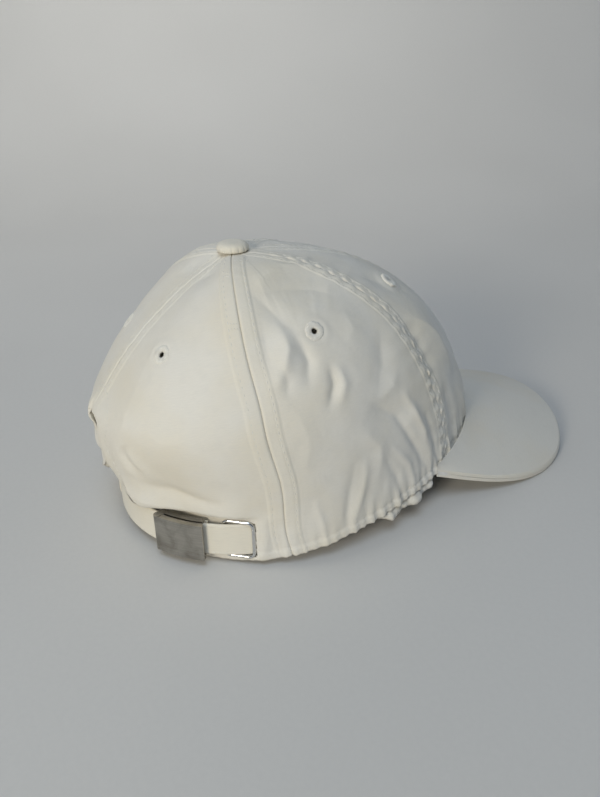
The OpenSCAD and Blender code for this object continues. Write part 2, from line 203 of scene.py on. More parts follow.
# Each fold: points as (u, v), half width in mm, height in mm (negative for a hollow)
FOLDS = [
    # Wearer's right side panel
    ([(97, 0.765), (86, 0.775), (76, 0.745), (69, 0.70)], 15.0, -3.4),
    ([(100, 0.80), (87, 0.85), (73, 0.872), (60, 0.84), (50, 0.77)], 4.5, 1.5),
    ([(103, 0.76), (99.5, 0.72), (96, 0.65), (93.5, 0.58)], 6.5, -1.7),
    ([(104, 0.66), (103, 0.58), (104, 0.50)], 6.0, -1.3),
    ([(97.5, 0.62), (97.0, 0.56), (99.5, 0.51), (103, 0.46)], 4.0, 2.4),
    ([(101.5, 0.50), (100.3, 0.465), (100.8, 0.43)], 2.4, -1.3),
    ([(92.5, 0.56), (91.5, 0.50), (94, 0.45)], 3.0, -2.0),
    ([(86.5, 0.46), (87.0, 0.425), (90, 0.37)], 2.6, -2.2),
    ([(84.5, 0.46), (84.5, 0.42), (87, 0.37)], 2.6, 1.2),
    ([(100, 0.38), (98, 0.30), (101, 0.22)], 7.0, 0.9),
    ([(78, 0.33), (73, 0.28), (67, 0.22)], 9.0, -2.3),
    ([(82, 0.26), (79, 0.20), (80, 0.13)], 5.0, 1.2),
    ([(70.5, 0.25), (67.8, 0.18), (63.5, 0.06)], 2.6, -2.0),
    ([(66, 0.30), (63.5, 0.20), (61, 0.08)], 2.8, 1.8),
    ([(60, 0.20), (58.5, 0.11), (57.3, 0.045)], 1.8, -1.8),
    ([(74, 0.17), (70, 0.10), (68, 0.02)], 2.2, 1.3),
    ([(77, 0.15), (74, 0.08), (73, 0.01)], 1.9, -1.2),
    ([(83.5, 0.17), (86, 0.09), (89, 0.02)], 2.4, 1.3),
    ([(86.5, 0.18), (89, 0.09), (92, 0.01)], 2.4, -0.9),
    ([(101, 0.12), (100, 0.05), (99, 0.0)], 2.2, 0.7),
    ([(70, 0.62), (73, 0.56), (78, 0.52)], 8.0, 1.0),
    ([(64, 0.50), (69, 0.42), (74, 0.36)], 6.5, -1.2),
    ([(66, 0.38), (70, 0.34), (76, 0.33)], 3.5, 0.8),
    # Front panel on the wearer's right
    ([(51, 0.52), (49, 0.42), (51, 0.30), (54, 0.20)], 5.0, -2.4),
    ([(43, 0.47), (37, 0.38), (37, 0.27)], 7.0, 2.4),
    ([(46, 0.22), (45, 0.12), (47, 0.03)], 4.0, -1.8),
    ([(36, 0.16), (33, 0.08), (30, 0.02)], 4.5, 1.4),
    ([(26, 0.30), (22, 0.20), (20, 0.08)], 6.0, -1.8),
    ([(12, 0.34), (10, 0.24), (12, 0.13)], 7.0, 1.4),
    ([(40, 0.68), (32, 0.60), (26, 0.52)], 6.0, -1.6),
    # Back panel on the wearer's right
    ([(155, 0.205), (151, 0.185), (144, 0.165), (134, 0.155)], 3.6, -2.0),
    ([(160, 0.17), (151, 0.13), (141, 0.115), (130, 0.11)], 3.4, 1.5),
    ([(153.4, 0.285), (153.0, 0.25), (152.6, 0.21)], 1.3, -1.7),
    ([(151.4, 0.285), (151.0, 0.25), (150.6, 0.21)], 1.5, 0.9),
    ([(165, 0.76), (155, 0.80), (140, 0.83)], 4.5, -1.0),
    ([(150, 0.36), (138, 0.32), (126, 0.33)], 9.0, 0.9),
    ([(128, 0.72), (131, 0.62), (130, 0.52)], 8.0, -0.7),
    ([(120, 0.10), (121, 0.04), (121, 0.0)], 2.2, 0.8),
    # Wearer's left side, softer and of another rhythm
    ([(-100, 0.74), (-93, 0.63), (-90, 0.50)], 6.5, -2.2),
    ([(-84, 0.55), (-90, 0.44), (-98, 0.36)], 4.5, 1.8),
    ([(-76, 0.42), (-70, 0.30), (-66, 0.20)], 7.0, -2.0),
    ([(-68, 0.22), (-64, 0.12), (-62, 0.03)], 2.8, 1.6),
    ([(-73, 0.20), (-70, 0.10), (-68, 0.01)], 2.4, -1.4),
    ([(-86, 0.18), (-83, 0.08), (-82, 0.0)], 2.8, 1.1),
    ([(-94, 0.16), (-92, 0.07), (-91, 0.0)], 2.4, -0.9),
    ([(-50, 0.50), (-48, 0.38), (-50, 0.25)], 5.5, -2.2),
    ([(-40, 0.44), (-35, 0.34), (-37, 0.22)], 7.0, 2.2),
    ([(-28, 0.26), (-24, 0.16), (-25, 0.05)], 5.0, -1.6),
    ([(-12, 0.30), (-14, 0.20), (-12, 0.10)], 6.0, 1.1),
    ([(-38, 0.66), (-30, 0.60), (-24, 0.50)], 6.0, -1.5),
    ([(-158, 0.19), (-149, 0.17), (-138, 0.155)], 3.8, -1.8),
    ([(-156, 0.14), (-146, 0.115), (-132, 0.105)], 3.6, 1.4),
    ([(-150, 0.60), (-140, 0.52), (-128, 0.50)], 8.0, -1.0),
    ([(-120, 0.36), (-128, 0.28), (-140, 0.26)], 7.0, 1.0),
    ([(-165, 0.74), (-152, 0.79), (-138, 0.80)], 5.0, -1.0),
]


def fold_height(p):
    total = np.zeros(p.shape[:-1])
    for path, width, height in FOLDS:
        points = crown(*np.array(path, float).T)
        fine = lookup(np.linspace(0, len(points) - 1, 9), range(len(points)), points)
        # A listed line is not left straight, and the cloth is creased rather than rolled
        fine[1:-1] += 1.2 * np.stack([noise(fine[1:-1], 9, seed) for seed in (2, 3, 4)], -1)
        d, along = line_distance(p, fine)
        fade = np.sin(np.pi * np.clip(0.08 + 0.84 * along, 0, 1)) ** 0.8
        bell = 0.55 * np.exp(-(d / width) ** 2) + 0.45 * np.exp(-d / (0.62 * width)) ** 1.4
        total = total + height * fade * bell
    return total


def pleats(x, seed, spread):
    """Uneven small gathers along a length x in mm, 0 to 1."""
    q = np.stack([x, np.zeros_like(x), np.full_like(x, 3.3 * seed)], -1)
    phase = 2 * np.pi * x / spread + 3.2 * noise(q, 2.6 * spread, seed)
    return (0.5 + 0.5 * np.cos(phase)) ** 1.7 * (0.65 + 0.5 * noise(q, 1.7 * spread, seed + 1))


EYELETS = {"front": (28.0, 0.6), "side": (86.5, 0.585), "back": (149.0, 0.53)}
# Distance along the lower edge by angle, so that gathers have a real length
EDGE_U = np.linspace(-185, 185, 1481)
EDGE_LEN = lengths(crown(EDGE_U, 0.02))


def arch_distance(side, v, deg):
    """Distance in mm along the cloth from the arch's edge."""
    at = 180 - ARCH_HALF * np.sin(np.linspace(0, np.pi / 2, 80))
    best = np.full(np.shape(v), 1e9)
    for a, b in zip(at, arch_edge(at)):
        best = np.minimum(best, np.hypot((side - a) * deg, (v - b) * BACK_V_MM))
    return best


def drawn_in(u, v):
    """The angle after the strap has drawn the arch's two feet towards each other."""
    side = np.abs(u)
    level = ramp((v - 0.09) / 0.09) * (1 - ramp((v - 0.25) / 0.10))
    step = 9.5 * level * ramp((side - 144) / 16) * (1 - ramp((side - 165) / 15))
    return np.sign(u) * (side + step)


def strap_angle(p):
    """Angle round the strap's axis from the back towards the wearer's right."""
    return np.degrees(np.arctan2(-p[..., 0], p[..., 1] - STRAP_Y))


def crumpled(u, v, p):
    """Height of the cloth's soft waves, its small crinkles and the folds."""
    side = np.abs(u)
    height = 1.0 * noise(p, 42, 1) + 0.42 * noise(p, 19, 2) + 0.13 * noise(p, 8, 3)
    # Small crinkles that run on across the cloth, more on the sides and front than at the back
    bent = p + 9 * np.stack([noise(p, 25, 6), noise(p, 25, 7), noise(p, 25, 8)], -1)
    bent = bent * np.array([1.0, 0.75, 0.5])
    crinkle = np.maximum(0, noise(bent, 13, 5)) ** 2
    height += (0.2 + 0.75 * ramp((130 - side) / 30) * ramp(v / 0.1)) * (crinkle - 0.1)
    height *= 0.35 + 0.65 * ramp((0.985 - v) / 0.12)
    return height + fold_height(p)


def with_seams(height, wear_and_painted_light, u, v, p, deg):
    """Seams: a narrow groove with a raised band over the tape on each side."""
    climb = np.arange(0, 1.0001, 0.01)
    for where, smooth in ((0.0, 0.5), (side_seam(v), 0.0), (-side_seam(v), 0.0),
                          (rear_seam(v), 1.0), (-rear_seam(v), 1.0), (180.0, 0.8), (-180.0, 0.8)):
        middle = np.mean(where) if np.ndim(where) else where
        s = (u - where) * deg
        line = crown(np.full_like(climb, middle), climb)
        t = np.interp(v, climb, lengths(line))
        reach = np.exp(-(s / 16) ** 2)
        below_top = ramp((0.97 - v) / 0.1)
        # Folds die out where the doubled, taped seam is stiffer
        height *= 1 - (0.55 if smooth > 0.9 else 0.35) * np.exp(-(s / 6.5) ** 2)
        band = 6.4 if smooth > 0.9 else 4.6
        a = np.abs(s)
        height += (0.42 if smooth > 0.9 else 0.35) * (1 - ramp((a - band) / 0.9))
        height -= (0.75 if smooth > 0.9 else 0.7) * np.exp(-(a / 0.38) ** 1.5)
        # Topstitching pulls a line of small dents into each side
        dent = 0.5 + 0.5 * np.cos(2 * np.pi * t / 3.2)
        row = band - 1.0
        height -= (0.10 + 0.10 * dent) * np.exp(-((a - row) / 0.5) ** 2)
        # The front seams draw up in puckers, the rear ones hardly
        puck = pleats(t + 2.5 * np.sign(s) + 1.5 * noise(p, 12, 27), 3 + middle / 50, 7.6) - 0.4
        puck = puck * (0.75 + 0.6 * noise(p, 21, 29))
        amount = 1.05 * (1 - smooth) + 0.14
        height += amount * puck * np.exp(-((a - 0.5 * row) / (0.8 * row)) ** 2) * ramp(v / 0.05) * below_top
        height += 0.35 * amount * (pleats(t, 7 + middle / 40, 11) - 0.4) * reach * below_top
        wear_and_painted_light = np.maximum(wear_and_painted_light, 0.8 * np.exp(-((a - row) / 2.2) ** 2))
    return height, wear_and_painted_light


def with_hem(height, wear_and_painted_light, u, v, p):
    """Lower edge: a turned hem that is drawn up by the sweatband's stitching."""
    side = np.abs(u)
    edge_x = np.interp(u, EDGE_U, EDGE_LEN)
    up = np.linalg.norm(p - crown(u, 0 * v), axis=-1)
    flat = ramp((side - (180 - ARCH_HALF - 4)) / 4)
    drawn = (1 - flat) * (0.4 + 0.6 * ramp((125 - side) / 18))
    hem = np.exp(-np.clip(up - 3.6, 0, 99) / 5.5)
    tight = 0.5 + 1.25 * ramp((100 - side) / 24)
    gathers = 0.85 * tight * (pleats(edge_x, 5, 5.2) - 0.4) + 0.6 * (pleats(edge_x, 9, 15) - 0.4)
    height += drawn * hem * gathers
    height += 0.7 * drawn * tight * (pleats(edge_x + 0.25 * up, 15, 10.5) - 0.4) * np.exp(-(up / 15) ** 2)
    height += 0.5 * (1 - flat) * (1 - ramp((up - 3.5) / 0.6))
    height -= (0.3 + 0.12 * np.cos(2 * np.pi * edge_x / 3.1)) * (1 - flat) * np.exp(-((up - 4.2) / 0.5) ** 2)
    wear_and_painted_light = np.maximum(wear_and_painted_light, (1 - flat) * np.exp(-up / 2.5))
    return height, wear_and_painted_light


def with_arch(height, wear_and_painted_light, u, v, deg):
    """Arch: its edge is bound, rolls outwards and ruffles where the strap draws it in."""
    side = np.abs(u)
    in_arch = ramp((side - 148) / 10)
    near = arch_distance(side, v, deg)
    along = np.arctan2(v / ARCH_V, (180 - side) / ARCH_HALF) * 38
    waves = np.where(u > 0, 0.35, 1.0) * (pleats(along * np.sign(u) + 40, 13, 12.5) - 0.35)
    foot = 1 - ramp((v - 0.14) / 0.16)
    roll = in_arch * np.exp(-(near / mix(5.0, 7.5, foot)) ** 2)
    height += roll * ramp((v - 0.03) / 0.08) * (1.6 + 2.4 * waves) * (1 + 0.5 * foot)
    wear_and_painted_light = np.maximum(wear_and_painted_light, 0.9 * roll)
    return height, wear_and_painted_light


def over_strap(height, u, v, p):
    """The back panels hang over the strap in a fold and tuck in behind it. The left one is bunched up."""
    side, z = np.abs(u), p[..., 2]
    right, pulled = u > 0, np.abs(drawn_in(u, v))
    lip = 24.9 + 0.5 * noise(p, 13, 19)
    lip += np.where(right, 3.2 * ramp((pulled - 158) / 12) ** 2, 1.9 * ramp((pulled - 153) / 7))
    rise = ramp((z - lip) / 3.0)
    soft = 1 + 0.15 * noise(p, 17, 17)
    height += ramp((side - 119) / 14) * 2.6 * soft * rise * np.exp(-(np.maximum(z - 29, 0) / 8.5) ** 2)
    near_flare = 7.0 * ramp((pulled - 147) / 17) * (1 - ramp((z - 36) / 30))
    far_flare = 13.5 * np.exp(-((pulled - 160) / 10.0) ** 2) + 3 * ramp((pulled - 160) / 9)
    far_flare = far_flare * (1 - ramp((z - 33) / 30))
    bunch = pleats(z + 0.75 * pulled, 61, 8.5) - 0.4 + 0.5 * noise(p, 8, 63)
    bunched = 2.3 * bunch * ramp((pulled - 146) / 12) * ramp((z - lip - 0.5) / 6)
    far_flare += bunched * (1 - ramp((z - 42) / 22))
    height += rise * soft * np.where(right, near_flare, far_flare)
    behind = ramp((side - 113) / 7) * (1 - ramp((z - lip) / 1.0))
    height = mix(height, np.clip(height, -1.4, 0.6), behind)
    # Beside the slot the cloth stands over the strap's tail
    theta = strap_angle(p)
    height += 1.35 * np.exp(-((theta - 73.0) / 3.6) ** 2) * np.exp(-((z - STRAP_Z) / 13.0) ** 6) * (u > 0)
    return height


def cloth_height(u, v):
    """How far the worn cloth stands off the smooth crown, and a mark from 0 to 1 of wear and of painted warm
    light and shade.
    """
    p = crown(u, v)
    deg = per_degree(u, v)
    height, wear_and_painted_light = with_seams(crumpled(u, v, p), np.zeros_like(p[..., 0]), u, v, p, deg)
    height, wear_and_painted_light = with_hem(height, wear_and_painted_light, u, v, p)
    height, wear_and_painted_light = with_arch(height, wear_and_painted_light, u, v, deg)
    height = over_strap(height, u, v, p)
    # Painted warm shade in the side panels' upper hollows, and painted warm light low on the right back panel
    # over the strap: these spots raise the mark, which tints the cloth towards its warm colour
    for at, size, amount in (((84, 0.75), 19, 0.8), ((-84, 0.72), 15, 0.5),
                             ((146, 0.2), 20, 0.7), ((128, 0.1), 16, 0.6)):
        away = np.linalg.norm(p - crown(*at), axis=-1)
        wear_and_painted_light = np.maximum(wear_and_painted_light, amount * np.exp(-(away / size) ** 2))
    # The embroidered eyelets hold the cloth flat, with short gathers round them
    for eu, ev in EYELETS.values():
        away = np.minimum(*(np.linalg.norm(p - crown(at, ev), axis=-1) for at in (eu, -eu)))
        height *= 1 - np.exp(-(away / 6.5) ** 2)
        height += 0.28 * np.exp(-((away - 6.2) / 1.6) ** 2)
    # Nothing stands proud right beside the button
    return height * ramp((0.999 - v) / 0.03), wear_and_painted_light


# ---------------------------------------------------------------- meshes

def new_mesh(name, points, faces, material, uv=None, wear_and_painted_light=None):
    """One object from points in mm round the crown's centre. Cloth has its own lengths in mm and its mark of
    wear and of painted warm light and shade.
    """
    mesh = bpy.data.meshes.new(name)
    points = (np.asarray(points, float).reshape(-1, 3) + SHIFT) * MM
    mesh.from_pydata(points.tolist(), [], [list(map(int, f)) for f in faces])
    if uv is not None:
        layer = mesh.uv_layers.new(name="cloth")
        corner = np.zeros(len(mesh.loops), np.int32)
        mesh.loops.foreach_get("vertex_index", corner)
        layer.data.foreach_set("uv", np.asarray(uv, np.float32).reshape(-1, 2)[corner].ravel())
        attribute = mesh.attributes.new("wear_and_painted_light", "FLOAT", "POINT")
        wear_and_painted_light = np.zeros(len(points)) if wear_and_painted_light is None else wear_and_painted_light
        attribute.data.foreach_set("value", np.asarray(wear_and_painted_light, np.float32).ravel())
    mesh.polygons.foreach_set("use_smooth", [True] * len(mesh.polygons))
    mesh.materials.append(material)
    mesh.update()
    obj = bpy.data.objects.new(name, mesh)
    bpy.context.scene.collection.objects.link(obj)
    return obj


def dress(obj, node=None, body="crown"):
    """Say which body a piece rides on, and which CAD node it replaces, if any."""
    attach(obj, body)
    if node:
        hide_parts(node)


def grid_faces(n, m, start=0, flip=False, drop=None, wrap=(False, False)):
    """Quads between n by m points. In a wrapped direction the last point is joined to the first."""
    i, j = np.meshgrid(np.arange(n if wrap[0] else n - 1), np.arange(m if wrap[1] else m - 1), indexing="ij")
    if drop is not None:
        i, j = i[~drop], j[~drop]
    i, j = i.ravel(), j.ravel()
    k, l = (i + 1) % n, (j + 1) % m
    quads = np.stack([i * m + j, i * m + l, k * m + l, k * m + j], 1) + start
    return quads[:, ::-1] if flip else quads


def cloth_solid(name, outer, inner, material, flip=False, drop=None, wear_and_painted_light=None):
    """A cloth of real thickness from two grids of points, closed round its rim and round dropped cells."""
    n, m = outer.shape[:2]
    size = n * m
    kept = np.ones((n - 1, m - 1), bool) if drop is None else ~drop
    padded = np.pad(kept, 1)
    walls = []
    for i, j in np.argwhere(kept):
        # The four sides of a kept cell that border on nothing
        a, b, c, d = i * m + j, i * m + j + 1, (i + 1) * m + j + 1, (i + 1) * m + j
        for there, p, q in ((padded[i, j + 1], a, b), (padded[i + 1, j + 2], b, c),
                            (padded[i + 2, j + 1], c, d), (padded[i + 1, j], d, a)):
            if not there:
                p, q = (p, q) if flip else (q, p)
                walls.append((p, q, q + size, p + size))
    faces = [grid_faces(n, m, 0, flip, drop), grid_faces(n, m, size, not flip, drop), np.array(walls)]
    across, upward = lengths(outer, 0), lengths(outer, 1)
    across = across - across[n // 2:n // 2 + 1]
    uv = np.stack([across, upward], -1)
    wear_and_painted_light = np.zeros((n, m)) if wear_and_painted_light is None else wear_and_painted_light
    return new_mesh(name, np.stack([outer, inner]), np.concatenate(faces), material,
                    np.stack([uv, uv]), np.stack([wear_and_painted_light, wear_and_painted_light]))


def stitches(name, runs, length, gap, thick, sink):
    """Real stitches along runs of (points, outward directions), all in one mesh."""
    sides, bulge = 7, np.array([0.10, 0.8, 1.0, 0.8, 0.10])
    lift = np.array([-0.8, 0.15, 0.35, 0.15, -0.8])
    rings = len(bulge)
    angle = np.linspace(0, 2 * np.pi, sides, endpoint=False)[:, None]
    t = np.linspace(0, 1, rings)[:, None]
    skin = [*grid_faces(rings, sides, wrap=(False, True)).tolist(),
            list(range(sides))[::-1], list(range((rings - 1) * sides, rings * sides))]
    points, faces = [], []
    for line, normals in runs:
        run = lengths(line)
        for s in range(int((run[-1] - 0.3) // (length + gap))):
            at = (s + 0.5) * (length + gap) + rng.uniform(-0.12, 0.12)
            start, end = lookup(at - length / 2, run, line), lookup(at + length / 2, run, line)
            out = unit(lookup(at, run, normals))
            sideways = unit(np.cross(out, unit(end - start)))
            slant = rng.uniform(-0.05, 0.05) * length
            centre = mix(start, end, t) + sideways * slant * (t - 0.5)
            centre = centre + out * (lift * thick / 2 - sink)[:, None]
            ring = 1.15 * np.cos(angle) * sideways + np.sin(angle) * out
            first = len(points) * rings * sides
            faces += [[first + corner for corner in face] for face in skin]
            points.append(centre[:, None] + (bulge * thick / 2)[:, None, None] * ring)
    return new_mesh(name, points, faces, seam_thread)


# ---------------------------------------------------------------- materials

class Look:
    """A material in the making. An input that is given another node's output is linked, any other is set."""

    def __init__(self, name):
        self.material = bpy.data.materials.new(name)
        self.material.use_nodes = True
        self.tree = self.material.node_tree
        self.place = self.add("TexCoord", out="Object")

    def put(self, node, inputs):
        for key, value in inputs.items():
            socket = node.inputs[key]
            if isinstance(value, bpy.types.NodeSocket):
                self.tree.links.new(value, socket)
            else:
                socket.default_value = (*value, 1) if socket.type == "RGBA" else value

    def add(self, kind, inputs=None, out=0, **settings):
        node = self.tree.nodes.new("ShaderNode" + kind)
        for key, value in settings.items():
            setattr(node, key, value)
        self.put(node, inputs or {})
        return node.outputs[out]

    def noise(self, scale, detail=2.0, vector=None, **more):
        vector = self.place if vector is None else vector
        return self.add("TexNoise", {"Vector": vector, "Scale": scale, "Detail": detail, **more}, "Fac")

    def blend(self, factor, a, b):
        return self.add("Mix", {0: factor, 6: a, 7: b}, 2, data_type="RGBA")

    def scaled(self, value, low, high, a=0.0, b=1.0):
        return self.add("MapRange", {0: value, 1: low, 2: high, 3: a, 4: b})

    def maths(self, operation, a, b):
        return self.add("Math", {0: a, 1: b}, operation=operation)

    def bump(self, height, strength, distance, **more):
        return self.add("Bump", {"Height": height, "Strength": strength, "Distance": distance, **more})

    def finish(self, inputs):
        """Set the shader's inputs by their names, and hand the material over."""
        shader = next(x for x in self.tree.nodes if x.type == "BSDF_PRINCIPLED")
        self.put(shader, inputs)
        return self.material


def cotton(name, colour, warm, shade, period=0.46, weave_bump=0.35, crease_bump=0.25):
    """Plain-woven cotton: crossed threads from the cloth's own lengths, soft stains, wear on edges, and
    painted warm light and shade in a few spots.
    """
    look = Look(name)
    uv = look.add("UVMap", uv_map="cloth")
    # The wave texture's bands are a period apart at this scale
    wave = {"Vector": uv, "Scale": 0.31416 / period, "Distortion": 0.5, "Detail": 1.0, "Detail Scale": 1.5}
    warp, weft = (look.add("TexWave", wave, "Fac", wave_type="BANDS", bands_direction=way, wave_profile="SIN")
                  for way in ("X", "Y"))
    weave = look.maths("MULTIPLY", warp, weft)
    slub = look.noise(1.0, 3, look.add("Mapping", {"Vector": uv, "Scale": (0.25, 2.6, 1)}))
    blotch = look.noise(17, 3, Roughness=0.6)
    fine = look.noise(160, 4)
    rumple = look.noise(95, 5, Distortion=0.6)
    stained = look.blend(look.scaled(blotch, 0.42, 0.68), colour, warm)
    threads = look.blend(look.scaled(slub, 0.35, 0.75, 0.0, 0.32), stained, shade)
    woven = look.blend(look.scaled(weave, 0.0, 0.5, 0.24, 0.0), threads, shade)
    mottled = look.blend(look.scaled(fine, 0.55, 0.8, 0.0, 0.22), woven, shade)
    # The mark blends towards the warm colour: real wear on edges, seams and hem, and painted warm shade in
    # the side hollows and painted warm light low on the back
    mark = look.add("Attribute", out="Fac", attribute_name="wear_and_painted_light")
    wear_and_painted_light_tint = look.maths("MULTIPLY", mark, look.scaled(fine, 0.35, 0.6, 0.05, 0.4))
    relief = look.maths("ADD", weave, look.maths("MULTIPLY", slub, 0.6))
    creased = look.bump(rumple, crease_bump, 0.0009)
    return look.finish({
        "Base Color": look.blend(wear_and_painted_light_tint, mottled, warm),
        "Roughness": look.scaled(slub, 0.3, 0.7, 0.83, 0.96),
        "Sheen Weight": 0.25, "Sheen Roughness": 0.45, "Specular IOR Level": 0.25,
        "Normal": look.bump(relief, weave_bump, 0.00012, Normal=creased)})


def thread(name, colour, shade):
    """Twisted sewing thread: fine diagonal ply lines in object space."""
    look = Look(name)
    wave = {"Vector": look.place, "Scale": 900, "Distortion": 1.2}
    ply = look.add("TexWave", wave, "Fac", wave_type="BANDS", bands_direction="DIAGONAL")
    twisted = look.blend(look.scaled(ply, 0, 1, 0.0, 0.45), colour, shade)
    fluffy = look.blend(look.scaled(look.noise(700), 0.4, 0.8, 0, 0.3), twisted, shade)
    return look.finish({"Base Color": fluffy, "Roughness": 0.62, "Sheen Weight": 0.3,
                        "Normal": look.bump(ply, 0.4, 0.0001)})


def metal(name, colour, shade, rough, grain, smudge, grain_scale=(90, 90, 2600), anisotropic=0.0):
    """Sheet or wire metal: drawn or brushed grain, and smudges that change gloss and tint."""
    look = Look(name)
    lines = look.noise(1, 4, look.add("Mapping", {"Vector": look.place, "Scale": grain_scale}))
    stain = look.noise(120, 5, Distortion=0.4)
    tint = look.blend(look.scaled(stain, 0.42, 0.68, 0, smudge), colour, shade)
    brushed = look.blend(look.scaled(lines, 0.3, 0.75, 0, 0.35), tint, shade)
    gloss = look.maths("ADD", look.scaled(lines, 0.3, 0.7, rough - 0.06, rough + 0.08),
                       look.scaled(stain, 0.45, 0.7, 0.0, 0.5 * smudge))
    return look.finish({"Base Color": brushed, "Metallic": 1.0, "Roughness": gloss,
                        "Anisotropic": anisotropic, "Normal": look.bump(lines, grain, 0.00005)})


def plastic(name, colour, shade):
    """Moulded board with a slight grain."""
    look = Look(name)
    grain = look.noise(500, 3)
    return look.finish({"Base Color": look.blend(look.scaled(grain, 0.3, 0.8), colour, shade),
                        "Roughness": 0.5, "Normal": look.bump(grain, 0.2, 0.0001)})


def paper(name, colour, shade, fibre_colour):
    """Matt paper: wide clouds of two tones and fine fibres."""
    look = Look(name)
    tone = look.blend(look.scaled(look.noise(2.2, 2), 0.4, 0.65), colour, shade)
    fibres = look.blend(look.scaled(look.noise(420, 3), 0.3, 0.8, 0, 0.06), tone, fibre_colour)
    return look.finish({"Base Color": fibres, "Roughness": 0.75, "Specular IOR Level": 0.25})


# Cottons have a main colour, a yellowed one, which also serves for painted warm light and shade where the
# mark says so, and a shaded one
crown_cotton = cotton("crown cotton", (0.825, 0.80, 0.73), (0.81, 0.755, 0.625), (0.68, 0.665, 0.62))
brim_cotton = cotton("brim cotton", (0.74, 0.725, 0.665), (0.74, 0.69, 0.58), (0.62, 0.605, 0.565),
                     crease_bump=0.12)
button_cotton = cotton("button cotton", (0.83, 0.79, 0.68), (0.80, 0.73, 0.57), (0.69, 0.66, 0.59),
                       crease_bump=0.3)
# The strap's cotton is paler and warmer than the crown's: painted warm light on the strap
strap_cotton = cotton("strap cotton", (0.85, 0.81, 0.70), (0.82, 0.75, 0.59), (0.70, 0.67, 0.59),
                      crease_bump=0.18)
band_cotton = cotton("sweatband cotton", (0.79, 0.76, 0.68), (0.76, 0.70, 0.57), (0.64, 0.62, 0.56),
                     period=0.7, weave_bump=0.6)
tape_cotton = cotton("tape cotton", (0.77, 0.75, 0.69), (0.75, 0.70, 0.59), (0.60, 0.585, 0.54),
                     period=0.8, weave_bump=0.7)
inner_cotton = cotton("lining cotton", (0.75, 0.73, 0.67), (0.73, 0.68, 0.57), (0.60, 0.585, 0.54),
                      period=0.6)
seam_thread = thread("seam thread", (0.82, 0.80, 0.73), (0.60, 0.58, 0.53))
eyelet_thread = thread("eyelet thread", (0.86, 0.84, 0.77), (0.58, 0.56, 0.50))
brushed_steel = metal("brushed steel", (0.50, 0.475, 0.43), (0.20, 0.185, 0.16), 0.34, 0.35, 0.55,
                      anisotropic=0.4)
pin_steel = metal("pin steel", (0.42, 0.41, 0.39), (0.16, 0.15, 0.14), 0.3, 0.2, 0.4)
chrome = metal("chrome wire", (0.80, 0.80, 0.80), (0.45, 0.44, 0.42), 0.13, 0.05, 0.2,
               grain_scale=(500, 500, 500))
hidden_metal = metal("hidden metal", (0.55, 0.55, 0.56), (0.30, 0.30, 0.31), 0.35, 0.1, 0.3,
                     grain_scale=(300, 300, 300))
board_plastic = plastic("board", (0.72, 0.72, 0.70), (0.60, 0.60, 0.58))
backdrop_paper = paper("backdrop paper", (0.71, 0.70, 0.675), (0.67, 0.66, 0.635), (0.4, 0.4, 0.4))

# ---------------------------------------------------------------- six panels

ROWS = 150


def eased(n, dense=0.5):
    """0 to 1 in n columns, closer together near both ends."""
    c = np.linspace(0, 1, n)
    return mix(c, 0.5 - 0.5 * np.cos(np.pi * c), dense)


def worn(u, v):
    """Points of the worn cloth's outer surface, and the smooth crown's outward directions there."""
    u, v = np.broadcast_arrays(np.asarray(u, float), np.asarray(v, float))
    height, _ = cloth_height(u, v)
    normal = out_dir(drawn_in(u, v), v)
    return crown(drawn_in(u, v), v) + normal * height[..., None], normal


def panel_grid(kind):
    """The angles and heights (u, v) of a right-hand panel's points."""
    r = np.linspace(0, 1, ROWS)[None, :]
    r = mix(r, r ** 1.35, 0.55)
    if kind != "back":
        columns, start, end = {"front": (112, 0.0, SIDE_U), "side": (108, SIDE_U, REAR_U)}[kind]
        c = eased(columns, 0.45)[:, None]
        v = r * v_near_top(mix(start, end, c), PANEL_TOP_R)
        return (mix(0 * v, side_seam(v), c) if kind == "front" else mix(side_seam(v), rear_seam(v), c)), v
    # Columns start along the lower edge and the arch, and fan out to an even spacing higher up
    foot = 180 - ARCH_HALF
    over_arch = 180 - ARCH_HALF * np.sin(np.linspace(0, np.pi / 2, 44))
    edge = np.concatenate([np.linspace(REAR_U, foot, 82), over_arch[-2::-1]])[:, None]
    part = np.linspace(1, 0, len(edge))[:, None]
    v = mix(arch_edge(edge), v_near_top(mix(180, REAR_U, part), PANEL_TOP_R), r)
    share = np.clip((foot - edge) / (foot - REAR_U), 0, 1)
    share = mix(share, np.sin(share * np.pi / 2), 0.5)
    lower = np.where(edge > foot, edge, mix(foot, rear_seam(v), share))
    u = mix(lower, mix(180, rear_seam(v), part), 1 - (1 - r) ** 3)
    # The last column stops just short of its neighbour across the middle
    return np.where(edge >= 179.99, 180 - 0.06 / per_degree(np.full_like(v, 180.0), v), u), v


